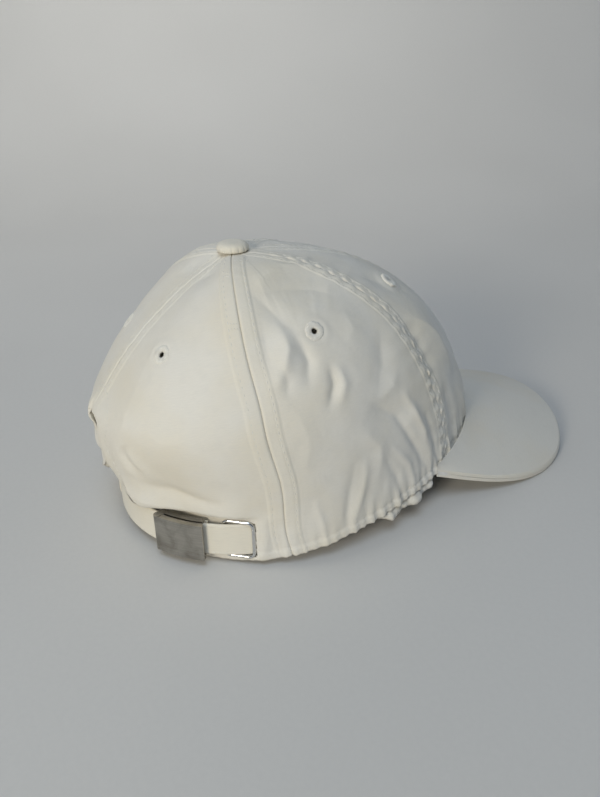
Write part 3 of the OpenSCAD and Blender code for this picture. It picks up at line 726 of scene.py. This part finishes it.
for kind in ("front", "side", "back"):
    for hand, sign in (("right", 1.0), ("left", -1.0)):
        u, v = panel_grid(kind)
        u = u * sign
        height, wear_and_painted_light = cloth_height(u, v)
        base, normal = crown(drawn_in(u, v), v), out_dir(drawn_in(u, v), v)
        here = base + normal * height[..., None]
        outer = here.copy()
        # The hem's stitches draw its edge up and down a little
        edge_x = np.interp(u, EDGE_U, EDGE_LEN)
        lower = ramp(1 - np.linalg.norm(base - crown(u, 0 * v), axis=-1) / 6)
        side_part = ramp((150 - np.abs(u)) / 10)
        tight = 0.5 + 1.0 * ramp((100 - np.abs(u)) / 24)
        gathers = 0.4 - pleats(edge_x, 5, 5.2) - 0.4 * pleats(edge_x, 9, 15)
        outer[..., 2] += lower * side_part * 0.6 * tight * gathers
        outer[..., 2] = np.maximum(outer[..., 2], 0.05)
        # The cloth's thickness is measured square to its own surface, so that folds keep it
        step = np.where(v > 0.5, -0.002, 0.002)
        own = np.cross(worn(u + 0.15, v)[0] - here, worn(u, v + step)[0] - here)
        own = unit(own * np.sign((own * normal).sum(-1, keepdims=True)))
        own = unit(own + 0.25 * normal)
        inner = outer - own * CLOTH
        inner[..., 2] = np.maximum(inner[..., 2], 0.05)
        # The eyelet's hole, hidden at its rim by the embroidered ring, and on the right the strap's slot
        eu, ev = EYELETS[kind]
        mid = (outer[:-1, :-1] + outer[1:, 1:] + outer[:-1, 1:] + outer[1:, :-1]) / 4
        drop = np.linalg.norm(mid - crown(eu * sign, ev), axis=-1) < EYELET_HOLE_R
        if kind == "back" and sign > 0:
            theta = strap_angle(mid)
            level = np.abs(mid[..., 2] - STRAP_Z) < STRAP_W / 2 + 0.8
            drop = drop | ((theta > SLOT_START) & (theta < SLOT_END) & level)
        obj = cloth_solid(f"cloth_{kind}_panel_{hand}", outer, inner, crown_cotton, sign < 0, drop, wear_and_painted_light)
        if kind == "back":
            # These two panels' faces look inwards, which shows on neither side of a two-sided material
            obj.data.flip_normals()
        dress(obj, f"{kind}_panel_{hand}")


# ---------------------------------------------------------------- sewing on the crown

def seam_angle(kind, v):
    return {"front": 0 * v, "side": side_seam(v), "rear": rear_seam(v), "back": 180 + 0 * v}[kind]


runs = []
for kind, signs, row, v_low in (("front", (1,), 3.6, 0.03), ("side", (1, -1), 3.6, 0.025),
                                ("rear", (1, -1), 5.4, 0.03), ("back", (1,), 3.6, ARCH_V + 0.035)):
    v = np.linspace(v_low, 0.945, 240)
    for sign in signs:
        for edge in (-1, 1):
            u = seam_angle(kind, v) + edge * row / per_degree(seam_angle(kind, v), v)
            runs.append(worn(u * sign, v))
# The turned lower edge, in front of the arch's feet and not across the slot
u = np.linspace(-(180 - ARCH_HALF - 1.5), 180 - ARCH_HALF - 1.5, 900)
v = 4.2 / np.maximum(np.linalg.norm(crown(u, 0.02) - crown(u, 0.0), axis=-1) / 0.02, 1)
hem_points, hem_out = worn(u, v)
theta = strap_angle(hem_points)
cut = np.flatnonzero((theta > SLOT_START - 0.5) & (theta < SLOT_END + 0.5))
for part in (slice(0, cut[0]), slice(cut[-1] + 1, None)):
    runs.append((hem_points[part], hem_out[part]))
# The arch's edge
EDGE_ROW = 4.2
u = 180 + (ARCH_HALF + EDGE_ROW) * np.sin(np.radians(np.linspace(-84, 84, 260)))
v = np.maximum(arch_edge(u, EDGE_ROW), 0.03)
runs.append(worn(np.where(u > 180, u - 360, u), v))
crown_stitches = stitches("stitches_crown", runs, length=2.5, gap=0.7, thick=0.38, sink=0.05)
dress(crown_stitches)
# Short bars across the rear seams' bands, where the tape was joined
runs = []
for sign in (1, -1):
    for v_bar in (0.83, 0.628):
        for dv in (0.0, 0.0165):
            v = np.full(24, v_bar + dv)
            u = rear_seam(v) + np.linspace(0.9, 6.3, 24) / per_degree(rear_seam(v), v)
            runs.append(worn(u * sign, v))
bars = stitches("stitches_bars", runs, length=1.25, gap=0.08, thick=0.42, sink=0.0)
dress(bars)


# ---------------------------------------------------------------- embroidered eyelets

EYELET_THREADS = 34


def eyelet_ring(name, u, v):
    """A satin-stitched ring: every thread runs from the hole over to the outside."""
    n = out_dir(u, v)
    centre = crown(u, v) - CLOTH / 2 * n
    level = unit(np.cross([0.0, 0.0, 1.0], n))
    phi = np.linspace(0, 2 * np.pi, 336, endpoint=False)[:, None]
    psi = np.linspace(0, 2 * np.pi, 20, endpoint=False)[None, :]
    uneven = 0.2 * np.interp(phi, np.linspace(0, 2 * np.pi, 43), np.append(rng.uniform(-1, 1, 42), 0))
    ridge = np.abs(np.sin(phi * EYELET_THREADS / 2)) ** 0.7
    out_r = 4.3 + uneven + 0.16 * ridge
    in_r = 1.42 + 0.7 * uneven - 0.12 * ridge
    r = (out_r + in_r) / 2 + (out_r - in_r) / 2 * squared(np.cos(psi), 0.85)
    z = (0.72 + 0.24 * ridge) * squared(np.sin(psi), 0.75)
    spoke = np.cos(phi) * level + np.sin(phi) * np.cross(n, level)
    points = centre + r[..., None] * spoke[:, None] + z[..., None] * n
    faces = grid_faces(*r.shape, wrap=(True, True))[:, [0, 3, 2, 1]]
    return new_mesh(name, points, faces, eyelet_thread)


for kind, (eu, ev) in EYELETS.items():
    for hand, sign in (("right", 1), ("left", -1)):
        ring = eyelet_ring(f"satin_eyelet_{kind}_{hand}", np.float64(eu * sign), np.float64(ev))
        dress(ring, f"eyelet_{kind}_{hand}")

# ---------------------------------------------------------------- tapes behind the seams

TAPE_W, TAPE_T = 12.0, 0.55
inside_runs = []
for name, kind, sign, v_low in (("front", "front", 1, 0.2), ("front_right", "side", 1, 0.2),
                                ("front_left", "side", -1, 0.2), ("rear_right", "rear", 1, 0.2),
                                ("rear_left", "rear", -1, 0.2), ("back", "back", 1, ARCH_V + 0.1)):
    base_u = {"front": 0.0, "side": SIDE_U, "rear": REAR_U, "back": 180.0}[kind]
    v = mix(v_low, v_near_top(base_u, 15.0), np.linspace(0, 1, 110))[None, :]
    across = (np.linspace(-0.5, 0.5, 13) * TAPE_W)[:, None]
    middle = seam_angle(kind, v)
    u = middle + across / per_degree(middle, v)
    flank = 3.0 / per_degree(middle, v)
    level = (cloth_height((middle - flank) * sign, v)[0] + cloth_height((middle + flank) * sign, v)[0]) / 2
    base, normal = crown(u * sign, v), out_dir(u * sign, v)
    edge_lift = 0.15 * (np.abs(across) / (TAPE_W / 2)) ** 6
    depth = 1.9 + 0.12 * noise(base, 6, 23) - edge_lift
    outer = base + normal * (level - depth)[..., None]
    inner = outer - normal * TAPE_T
    obj = cloth_solid(f"tape_{name}", outer, inner, tape_cotton, flip=sign < 0)
    dress(obj, f"seam_tape_{name}")
    for row in (1, 11):
        inside_runs.append((inner[row], -normal[row]))

# ---------------------------------------------------------------- sweatband

BAND_END, BAND_H, BAND_T = 152.0, 30.0, 0.8


def band_grid(depth, drop):
    """One layer of the band, which lies deeper inside and stops drop mm short at the ruffle's edge."""
    u = np.linspace(-BAND_END, BAND_END, 620)[:, None]
    share = np.linspace(0, 1, 26)[None, :]
    z = 1.2 + BAND_H * share
    at_tail = ramp((0.09 - np.cos(np.radians(u))) / 0.45)
    v_high = np.degrees(np.arcsin(np.clip(z / (CROWN_H - hem_z(u)), 0, 1) ** (1 / RISE_POWER))) / 90
    v = mix(v_high, 0.03, at_tail)
    base = crown(u, v)
    normal = flat_dir(u + 0 * v, v)
    x = np.interp(u, EDGE_U, EDGE_LEN) + 0 * z
    gathers = 0.55 * (pleats(x, 21, 9.0) - 0.4) + 0.4 * (pleats(x, 23, 21) - 0.4)
    gathers = gathers * (0.35 + 0.65 * (1 - share)) + 0.35 * noise(base, 15, 25)
    room = 1.2 + 6.6 * at_tail + CLOTH + depth
    # It follows the worn cloth where that falls inwards
    dent = np.minimum(cloth_height(u, np.clip(v_high, 0, 0.3))[0], 0) * (1 - at_tail)
    points = base + normal * (np.clip(gathers, -0.6, 0.35) - room + np.clip(dent, -2.6, 0))[..., None]
    points[..., 2] = hem_z(u) + z
    # A loose ruffle of it shows below the lower edge beside the brim
    spot = np.exp(-np.abs((u - 70.0) / 11.5) ** 5) + 0.6 * np.exp(-np.abs((u + 74) / 8) ** 4)
    lobes = np.cos(2 * np.pi * (u - 68.5) / 7.4 + 1.1 * np.sin(0.31 * u))
    points[..., 2] -= (6.9 - drop) * spot * (1 - ramp(share / 0.36)) * (0.93 + 0.07 * lobes)
    below = ramp((hem_z(u) - points[..., 2]) / 2.4)
    points += normal * (below * spot * (2.7 + 1.1 * lobes))[..., None]
    points[..., 2] = np.maximum(points[..., 2], 0.4)
    return points, normal


outer, normal = band_grid(0.0, 0.0)
lining = cloth_solid("sweatband_lining", outer, outer - normal * BAND_T, inner_cotton)
outer, normal = band_grid(1.05, 0.9)
inner = outer - normal * BAND_T
band = cloth_solid("sweatband_front", outer, inner, band_cotton)
for obj, slot, node in ((lining, "trim_cotton", "sweatband_backing"),
                        (band, "sweatband_cotton", "sweatband")):
    dress(obj, node)
for row in (3, 22):
    inside_runs.append((inner[:, row], -normal[:, row]))
inside = stitches("stitches_inside", inside_runs, length=2.6, gap=0.9, thick=0.4, sink=0.02)
dress(inside)

# ---------------------------------------------------------------- binding inside the arch's edge

a = np.radians(np.linspace(-90, 90, 300))[:, None]
share = np.linspace(0, 1, 26)[None, :]
at_foot = ramp((np.abs(np.degrees(a)) - 42) / 34)
grow = mix(-2.6 - 7.0 * at_foot, 5.5, share)
u = 180 + (ARCH_HALF + grow) * np.sin(a)
v = np.maximum(arch_edge(u, grow), 0.004)
u = np.where(u > 180, u - 360, u)
normal = out_dir(drawn_in(u, v), v)
line = (np.degrees(a) + 90) * 0.62 + 0 * grow
frill = (pleats(line + 2 * share, 31, 6.8) - 0.4) * (1 - share) ** 1.2
level, _ = cloth_height(np.where(np.abs(u) > 161, np.sign(u) * 161, u), np.maximum(v, 0.03))
tucked = 1 - ramp((v - 0.125) / 0.04)
spread = np.where(u > 0, 0.75, 1.0) * level * (1 - 0.55 * (1 - share) * at_foot)
depth = 1.9 - 2.6 * frill * (1 - tucked) + 1.2 * tucked
outer = crown(drawn_in(u, v), v) + normal * (mix(spread, np.minimum(level, 0.4), tucked) - depth)[..., None]
outer[..., 2] = np.maximum(outer[..., 2] + 1.1 * frill * (1 - tucked), 0.3)
binding = cloth_solid("arch_edge_binding", outer, outer - normal * 0.7, crown_cotton, flip=True)
dress(binding, "arch_binding")

# ---------------------------------------------------------------- brim

def brim_point(s, t, drop):
    """A point of the brim, drop mm below its top: s is -1 to 1 across it, t is 0 to 1 from root to rim."""
    u = s * BRIM_ROOT_U
    root = crown(u, 0.01) + 0.3 * flat_dir(u + 0 * t, 0.01 + 0 * t)
    corner = crown(BRIM_ROOT_U, 0.0)
    a = np.pi / 2 * s
    rim_x = corner[0] * np.sin(a) - BRIM_FLARE * np.sin(2 * a)
    rim_y = mix(corner[1], -CROWN_FRONT - BRIM_LEN, np.maximum(np.cos(a), 0) ** 0.9)
    x, y = mix(root[..., 0], rim_x, t), mix(root[..., 1], rim_y, t)
    sheet, root_sheet = (FRONT_LIFT - at_x ** 2 / (2 * BRIM_R) - (-CROWN_FRONT - at_y) * BRIM_FALL
                         for at_x, at_y in ((x, y), (root[..., 0], root[..., 1])))
    fit = (root[..., 2] - root_sheet) * (1 - t) ** 2
    droop = BRIM_DROOP * t ** 2 * np.maximum(np.cos(a), 0) ** 5
    return np.stack([x, y, sheet + fit + BRIM_RISE - droop - drop], -1)


TURN_T, BRIM_CLOTH = 0.978, 0.72
# The flat piece of cloth that each cover is cut from, in metres
s_line = np.sin(np.linspace(-np.pi / 2, np.pi / 2, 201))[:, None]
s_line = mix(np.linspace(-1, 1, 201)[:, None], s_line, 0.6)
flat_t = np.linspace(0, TURN_T, 64)
bend = np.radians(np.linspace(8, 90, 10))
t_line = np.concatenate([flat_t, TURN_T + (1 - TURN_T) * np.sin(bend)])[None, :]
turn = np.concatenate([0 * flat_t, 1 - np.cos(bend)])[None, :]
for name, start, way, softness in (("top", 0.0, 1.0, 1.0), ("under", BRIM_T, -1.0, 0.6)):
    drop = start + way * turn * (BRIM_T / 2 - 0.1)
    outer = brim_point(s_line, t_line, drop)
    inner_drop = start + way * (BRIM_CLOTH + turn * (BRIM_T / 2 - 0.1 - BRIM_CLOTH))
    inner = brim_point(s_line, np.minimum(t_line, 0.985), inner_drop)
    soft = (0.22 * noise(outer, 34, 41) + 0.10 * noise(outer, 12, 43)) * (1 - turn)
    outer[..., 2] += soft * softness
    inner[..., 2] += soft * softness
    outer[..., 2] = np.maximum(outer[..., 2], 0.02)
    wear_and_painted_light = 0.9 * np.exp(-((1 - t_line) / 0.03) ** 2) + 0 * s_line
    cover = cloth_solid(f"brim_{name}_cloth", outer, inner, brim_cotton, flip=way < 0, wear_and_painted_light=wear_and_painted_light)
    cover.data.flip_normals()
    dress(cover, f"brim_{name}_cover")

# ---------------------------------------------------------------- button

BUTTON_R, RIM_Z, DOME_H, BUTTON_COLUMNS = 7.5, 0.45, 3.75, 144
x = np.linspace(1, 0, 23)[1:]
# Rings from the turned-in edge below the rim, over the dome, to its middle
r = np.concatenate([[5.2, 6.4, 7.15, 7.46], BUTTON_R * np.sin(x * np.pi / 2) ** 0.9])[:, None]
z = np.concatenate([[0.0, -0.05, 0.05, RIM_Z], RIM_Z + DOME_H * (1 - x ** 2.7) ** 0.9])[:, None]
f = 2 * np.pi * np.arange(BUTTON_COLUMNS)[None, :] / BUTTON_COLUMNS
near_rim = (r / BUTTON_R) ** 7
tuck = 0.11 * near_rim * (np.cos(17 * f + 1.3 * np.sin(3 * f)) + 0.5 * np.cos(29 * f))
flat = np.stack([r * np.cos(f), r * np.sin(f), z + 0 * f], -1)
lump = 0.10 * noise(flat, 3.4, 51) * (1 - near_rim)
rings = np.stack([(r + tuck) * np.cos(f), (r + tuck) * np.sin(f), z + lump], -1)[:-1]
points = np.append(rings.reshape(-1, 3), [[0, 0, z[-1, 0]]], 0) + [0.0, BUTTON_SHIFT, button_low.z / MM]
uv = np.append(1.1 * flat[:-1, :, :2].reshape(-1, 2), [[0, 0]], 0)
last = (len(rings) - 1) * BUTTON_COLUMNS
fan = [(last + k, last + (k + 1) % BUTTON_COLUMNS, len(points) - 1) for k in range(BUTTON_COLUMNS)]
faces = [*grid_faces(len(rings), BUTTON_COLUMNS, wrap=(False, True)), *fan]
button = new_mesh("button_cloth", points, faces, button_cotton, uv)
dress(button, "button_cover")


# ---------------------------------------------------------------- strap, sleeve and tab

def arc(theta, radius, z):
    """Points round the strap's axis, z mm above the strap's middle line."""
    t = np.radians(theta)
    theta, radius, z = np.broadcast_arrays(theta, radius, z)
    return np.stack([-radius * np.sin(t), STRAP_Y + radius * np.cos(t), STRAP_Z + z], -1)


def arc_out(theta):
    """Outward directions round the strap's axis."""
    return arc(theta, 1.0, 0.0) - np.array([0, STRAP_Y, STRAP_Z])


def strip(name, start, end, r_in, r_out, half, cols, round_end=0.0, puff=0.06, seed=61):
    """A flat fabric strip bent round the strap's axis, with turned, slightly fuller edges."""
    theta = np.linspace(start, end, cols)[:, None]
    across = squared(np.linspace(-1, 1, 25)[None, :], 0.8)
    mid, thick = (r_in + r_out) / 2, (r_out - r_in) / 2
    left = (end - theta) * np.radians(1) * mid
    rounding = 1 - np.sqrt(np.clip(1 - (1 - left / max(round_end, 1e-6)) ** 2, 0, 1))
    z = across * half * np.where(left < round_end, 1 - 0.42 * rounding, 1.0)
    from_middle = np.abs(across)
    edge = np.clip((from_middle - 0.93) / 0.07, 0, 1)
    swell = puff * np.exp(-((from_middle - 0.9) / 0.06) ** 2)
    swell = swell - 0.10 * np.exp(-((from_middle - 0.80) / 0.03) ** 2)
    wavy = 0.05 * noise(arc(theta, mid, z), 9, seed)
    face = thick * np.sqrt(np.clip(1 - 0.75 * edge ** 2, 0, 1)) + swell * 0.8
    outer, inner = arc(theta, mid + face + wavy, z), arc(theta, mid - face + wavy, z)
    wear_and_painted_light = 0.7 * np.exp(-((1 - from_middle) / 0.07) ** 2) + 0 * theta
    return cloth_solid(name, outer, inner, strap_cotton, flip=True, wear_and_painted_light=wear_and_painted_light), outer, inner


STRAP_FROM, STRAP_TO, STRAP_COLS = -31.0, 87.0, 300
strap, outer, inner = strip("strap_cloth", STRAP_FROM, STRAP_TO, STRAP_R - 0.7, STRAP_R + 0.7, STRAP_W / 2,
                            STRAP_COLS, round_end=5.0)
dress(strap, "strap", "strap")
sewn, away = slice(4, -8), arc_out(np.linspace(STRAP_FROM, STRAP_TO, STRAP_COLS))
strap_runs = [(face[sewn, row], way * away[sewn])
              for face, way in ((outer, 1), (inner, -1)) for row in (2, -3)]
strap_stitches = stitches("strap_stitches", strap_runs, length=2.2, gap=0.75, thick=0.3, sink=0.06)
dress(strap_stitches, body="strap")

# The sleeve: a flat loop of cloth sewn to the left back panel
theta = np.linspace(-50, -20, 60)[None, :]
LOOP_HALF, LOOP_GAP, LOOP_T = STRAP_W / 2 + 0.3, 1.0, 0.95
f = 2 * np.pi * np.arange(96)[:, None] / 96
loop_z, loop_r = squared(np.cos(f), 0.22), squared(np.sin(f), 0.4)


def loop_points(half_r, half_z, bump):
    """Loops round the strap at each theta, half_r mm and half_z mm from its middle."""
    r, z = STRAP_R + loop_r * half_r + 0 * theta, loop_z * half_z + 0 * theta
    base = arc(theta, r, z)
    return base + bump * np.stack([0 * r, 0 * r, np.sign(z) * noise(base, 7, 71)], -1)


outer = loop_points(LOOP_GAP + LOOP_T, LOOP_HALF + LOOP_T, 0.12)
inner = loop_points(LOOP_GAP + 0.04, LOOP_HALF + 0.05, 0.0)
n, m = outer.shape[:2]
size = n * m
rims = []
for k in range(n):
    a, b = k * m, (k + 1) % n * m
    rims += [(a, b, size + b, size + a), (b + m - 1, a + m - 1, size + a + m - 1, size + b + m - 1)]
faces = [grid_faces(n, m, wrap=(True, False)), grid_faces(n, m, size, True, wrap=(True, False)), rims]
run, length_way = lengths(outer[:, 0])[:, None] + 0 * theta, np.radians(theta + 50) * STRAP_R + 0 * f
uv = np.stack([run, length_way], -1)
sleeve = new_mesh("sleeve_cloth", np.stack([outer, inner]), np.concatenate(faces), strap_cotton,
                  np.stack([uv, uv]))
dress(sleeve, "strap_sleeve")
z_run = np.linspace(-8.2, 8.2, 60)
ends = [(arc(np.full(60, t), STRAP_R + 1.97, z_run), unit(arc_out(np.full(60, t))))
        for t in (-48.4, -46.6, -22.2)]
sleeve_stitches = stitches("sleeve_stitches", ends, length=2.0, gap=0.6, thick=0.34, sink=0.04)
dress(sleeve_stitches)

CLASP_START, CLASP_END = 29.5, 49.5
tab, _, _ = strip("tab_cloth", CLASP_START + 8, CLASP_END + 1, STRAP_R - 3.5, STRAP_R - 2.3,
                  STRAP_W / 2 - 0.5, 40, puff=0.02, seed=67)
dress(tab, "clasp_tab")

# ---------------------------------------------------------------- kept CAD parts

for node, material in (("brim_board", board_plastic), ("button_shell", hidden_metal),
                       ("button_rivet", hidden_metal), ("clasp_base", brushed_steel),
                       ("clasp_lever", brushed_steel), ("clasp_pin", pin_steel), ("slot_ring", chrome)):
    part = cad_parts[node]
    part.data.materials.clear()
    part.data.materials.append(material)

# ---------------------------------------------------------------- camera, floor and light

AZIMUTH, ELEVATION, DISTANCE, ROLL = math.radians(64.3), math.radians(25.7), 0.392, math.radians(-2.0)
TURN_RIGHT, TURN_DOWN = math.radians(1.73), math.radians(1.44)
target = Vector((0, float(SHIFT[1]) * MM, 0.06))
level = math.cos(ELEVATION)
toward = Vector((-math.sin(AZIMUTH) * level, math.cos(AZIMUTH) * level, math.sin(ELEVATION)))
right = (-toward).cross(Vector((0, 0, 1))).normalized()
up = right.cross(-toward)
right, up = right * math.cos(ROLL) + up * math.sin(ROLL), up * math.cos(ROLL) - right * math.sin(ROLL)
camera_data = bpy.data.cameras.new("camera")
camera_data.sensor_width = 36
camera_data.lens = 34.1
camera_data.clip_start, camera_data.clip_end = 0.01, 20
camera = bpy.data.objects.new("camera", camera_data)
bpy.context.scene.collection.objects.link(camera)
# The target shows a little left of and above the middle of the frame, so the camera turns right and down
look = (-toward * math.cos(TURN_RIGHT) + right * math.sin(TURN_RIGHT)).normalized()
side = look.cross(up).normalized()
look = (look * math.cos(TURN_DOWN) - up * math.sin(TURN_DOWN)).normalized()
over = side.cross(look).normalized()
turned = Matrix((side, over, -look)).transposed().to_4x4()
camera.matrix_world = Matrix.Translation(target + toward * DISTANCE) @ turned
bpy.context.scene.camera = camera


def backdrop():
    """A pale sheet that lies on the table and sweeps up far behind the object, turned to face the camera."""
    sweep_start, sweep_r, under_object = 0.5, 0.6, 0.00015
    away = unit(np.array([-toward.x, -toward.y, 0.0]))
    wide = np.array([away[1], -away[0], 0.0])
    turn = np.radians(np.linspace(0, 90, 25)[1:])
    along = np.concatenate([[-3.0, -1.0, -0.3, 0.0, 0.3, sweep_start], sweep_start + sweep_r * np.sin(turn)])
    along = np.append(along, [sweep_start + sweep_r] * 2)
    height = np.concatenate([np.zeros(6), sweep_r * (1 - np.cos(turn)), [1.2, 3.0]])
    points = along[:, None, None] * away + np.linspace(-3.5, 3.5, 15)[:, None] * wide
    points[..., 2] += height[:, None] - under_object
    new_mesh("backdrop", points / MM - SHIFT, grid_faces(len(along), 15), backdrop_paper)


def area_light(name, place, aim, size, power, colour, spread=180):
    data = bpy.data.lights.new(name, "AREA")
    data.shape, data.size, data.energy, data.color = "DISK", size, power, colour
    data.spread = math.radians(spread)
    obj = bpy.data.objects.new(name, data)
    obj.location = place
    obj.rotation_mode = "QUATERNION"
    obj.rotation_quaternion = (Vector(aim) - Vector(place)).to_track_quat("-Z", "Y")
    bpy.context.scene.collection.objects.link(obj)


backdrop()
area_light("window", (-0.82, 1.22, 0.56), (0, 0, 0.05), 0.45, 10.1, (1.0, 0.918, 0.765))
area_light("sky", (-0.72, 0.52, 1.58), (0, 0.03, 0.05), 1.0, 9.2, (0.73, 0.855, 1.0))
area_light("wall", (0.48, 0.12, 1.3), (1.0, -0.27, 0.40), 0.7, 2.2, (1.0, 0.97, 0.91), spread=110)
world = bpy.data.worlds.new("room")
world.use_nodes = True
world.node_tree.nodes["Background"].inputs["Color"].default_value = (0.72, 0.83, 1.0, 1)
world.node_tree.nodes["Background"].inputs["Strength"].default_value = 0.16
bpy.context.scene.world = world
bpy.context.scene.view_settings.view_transform = "Standard"
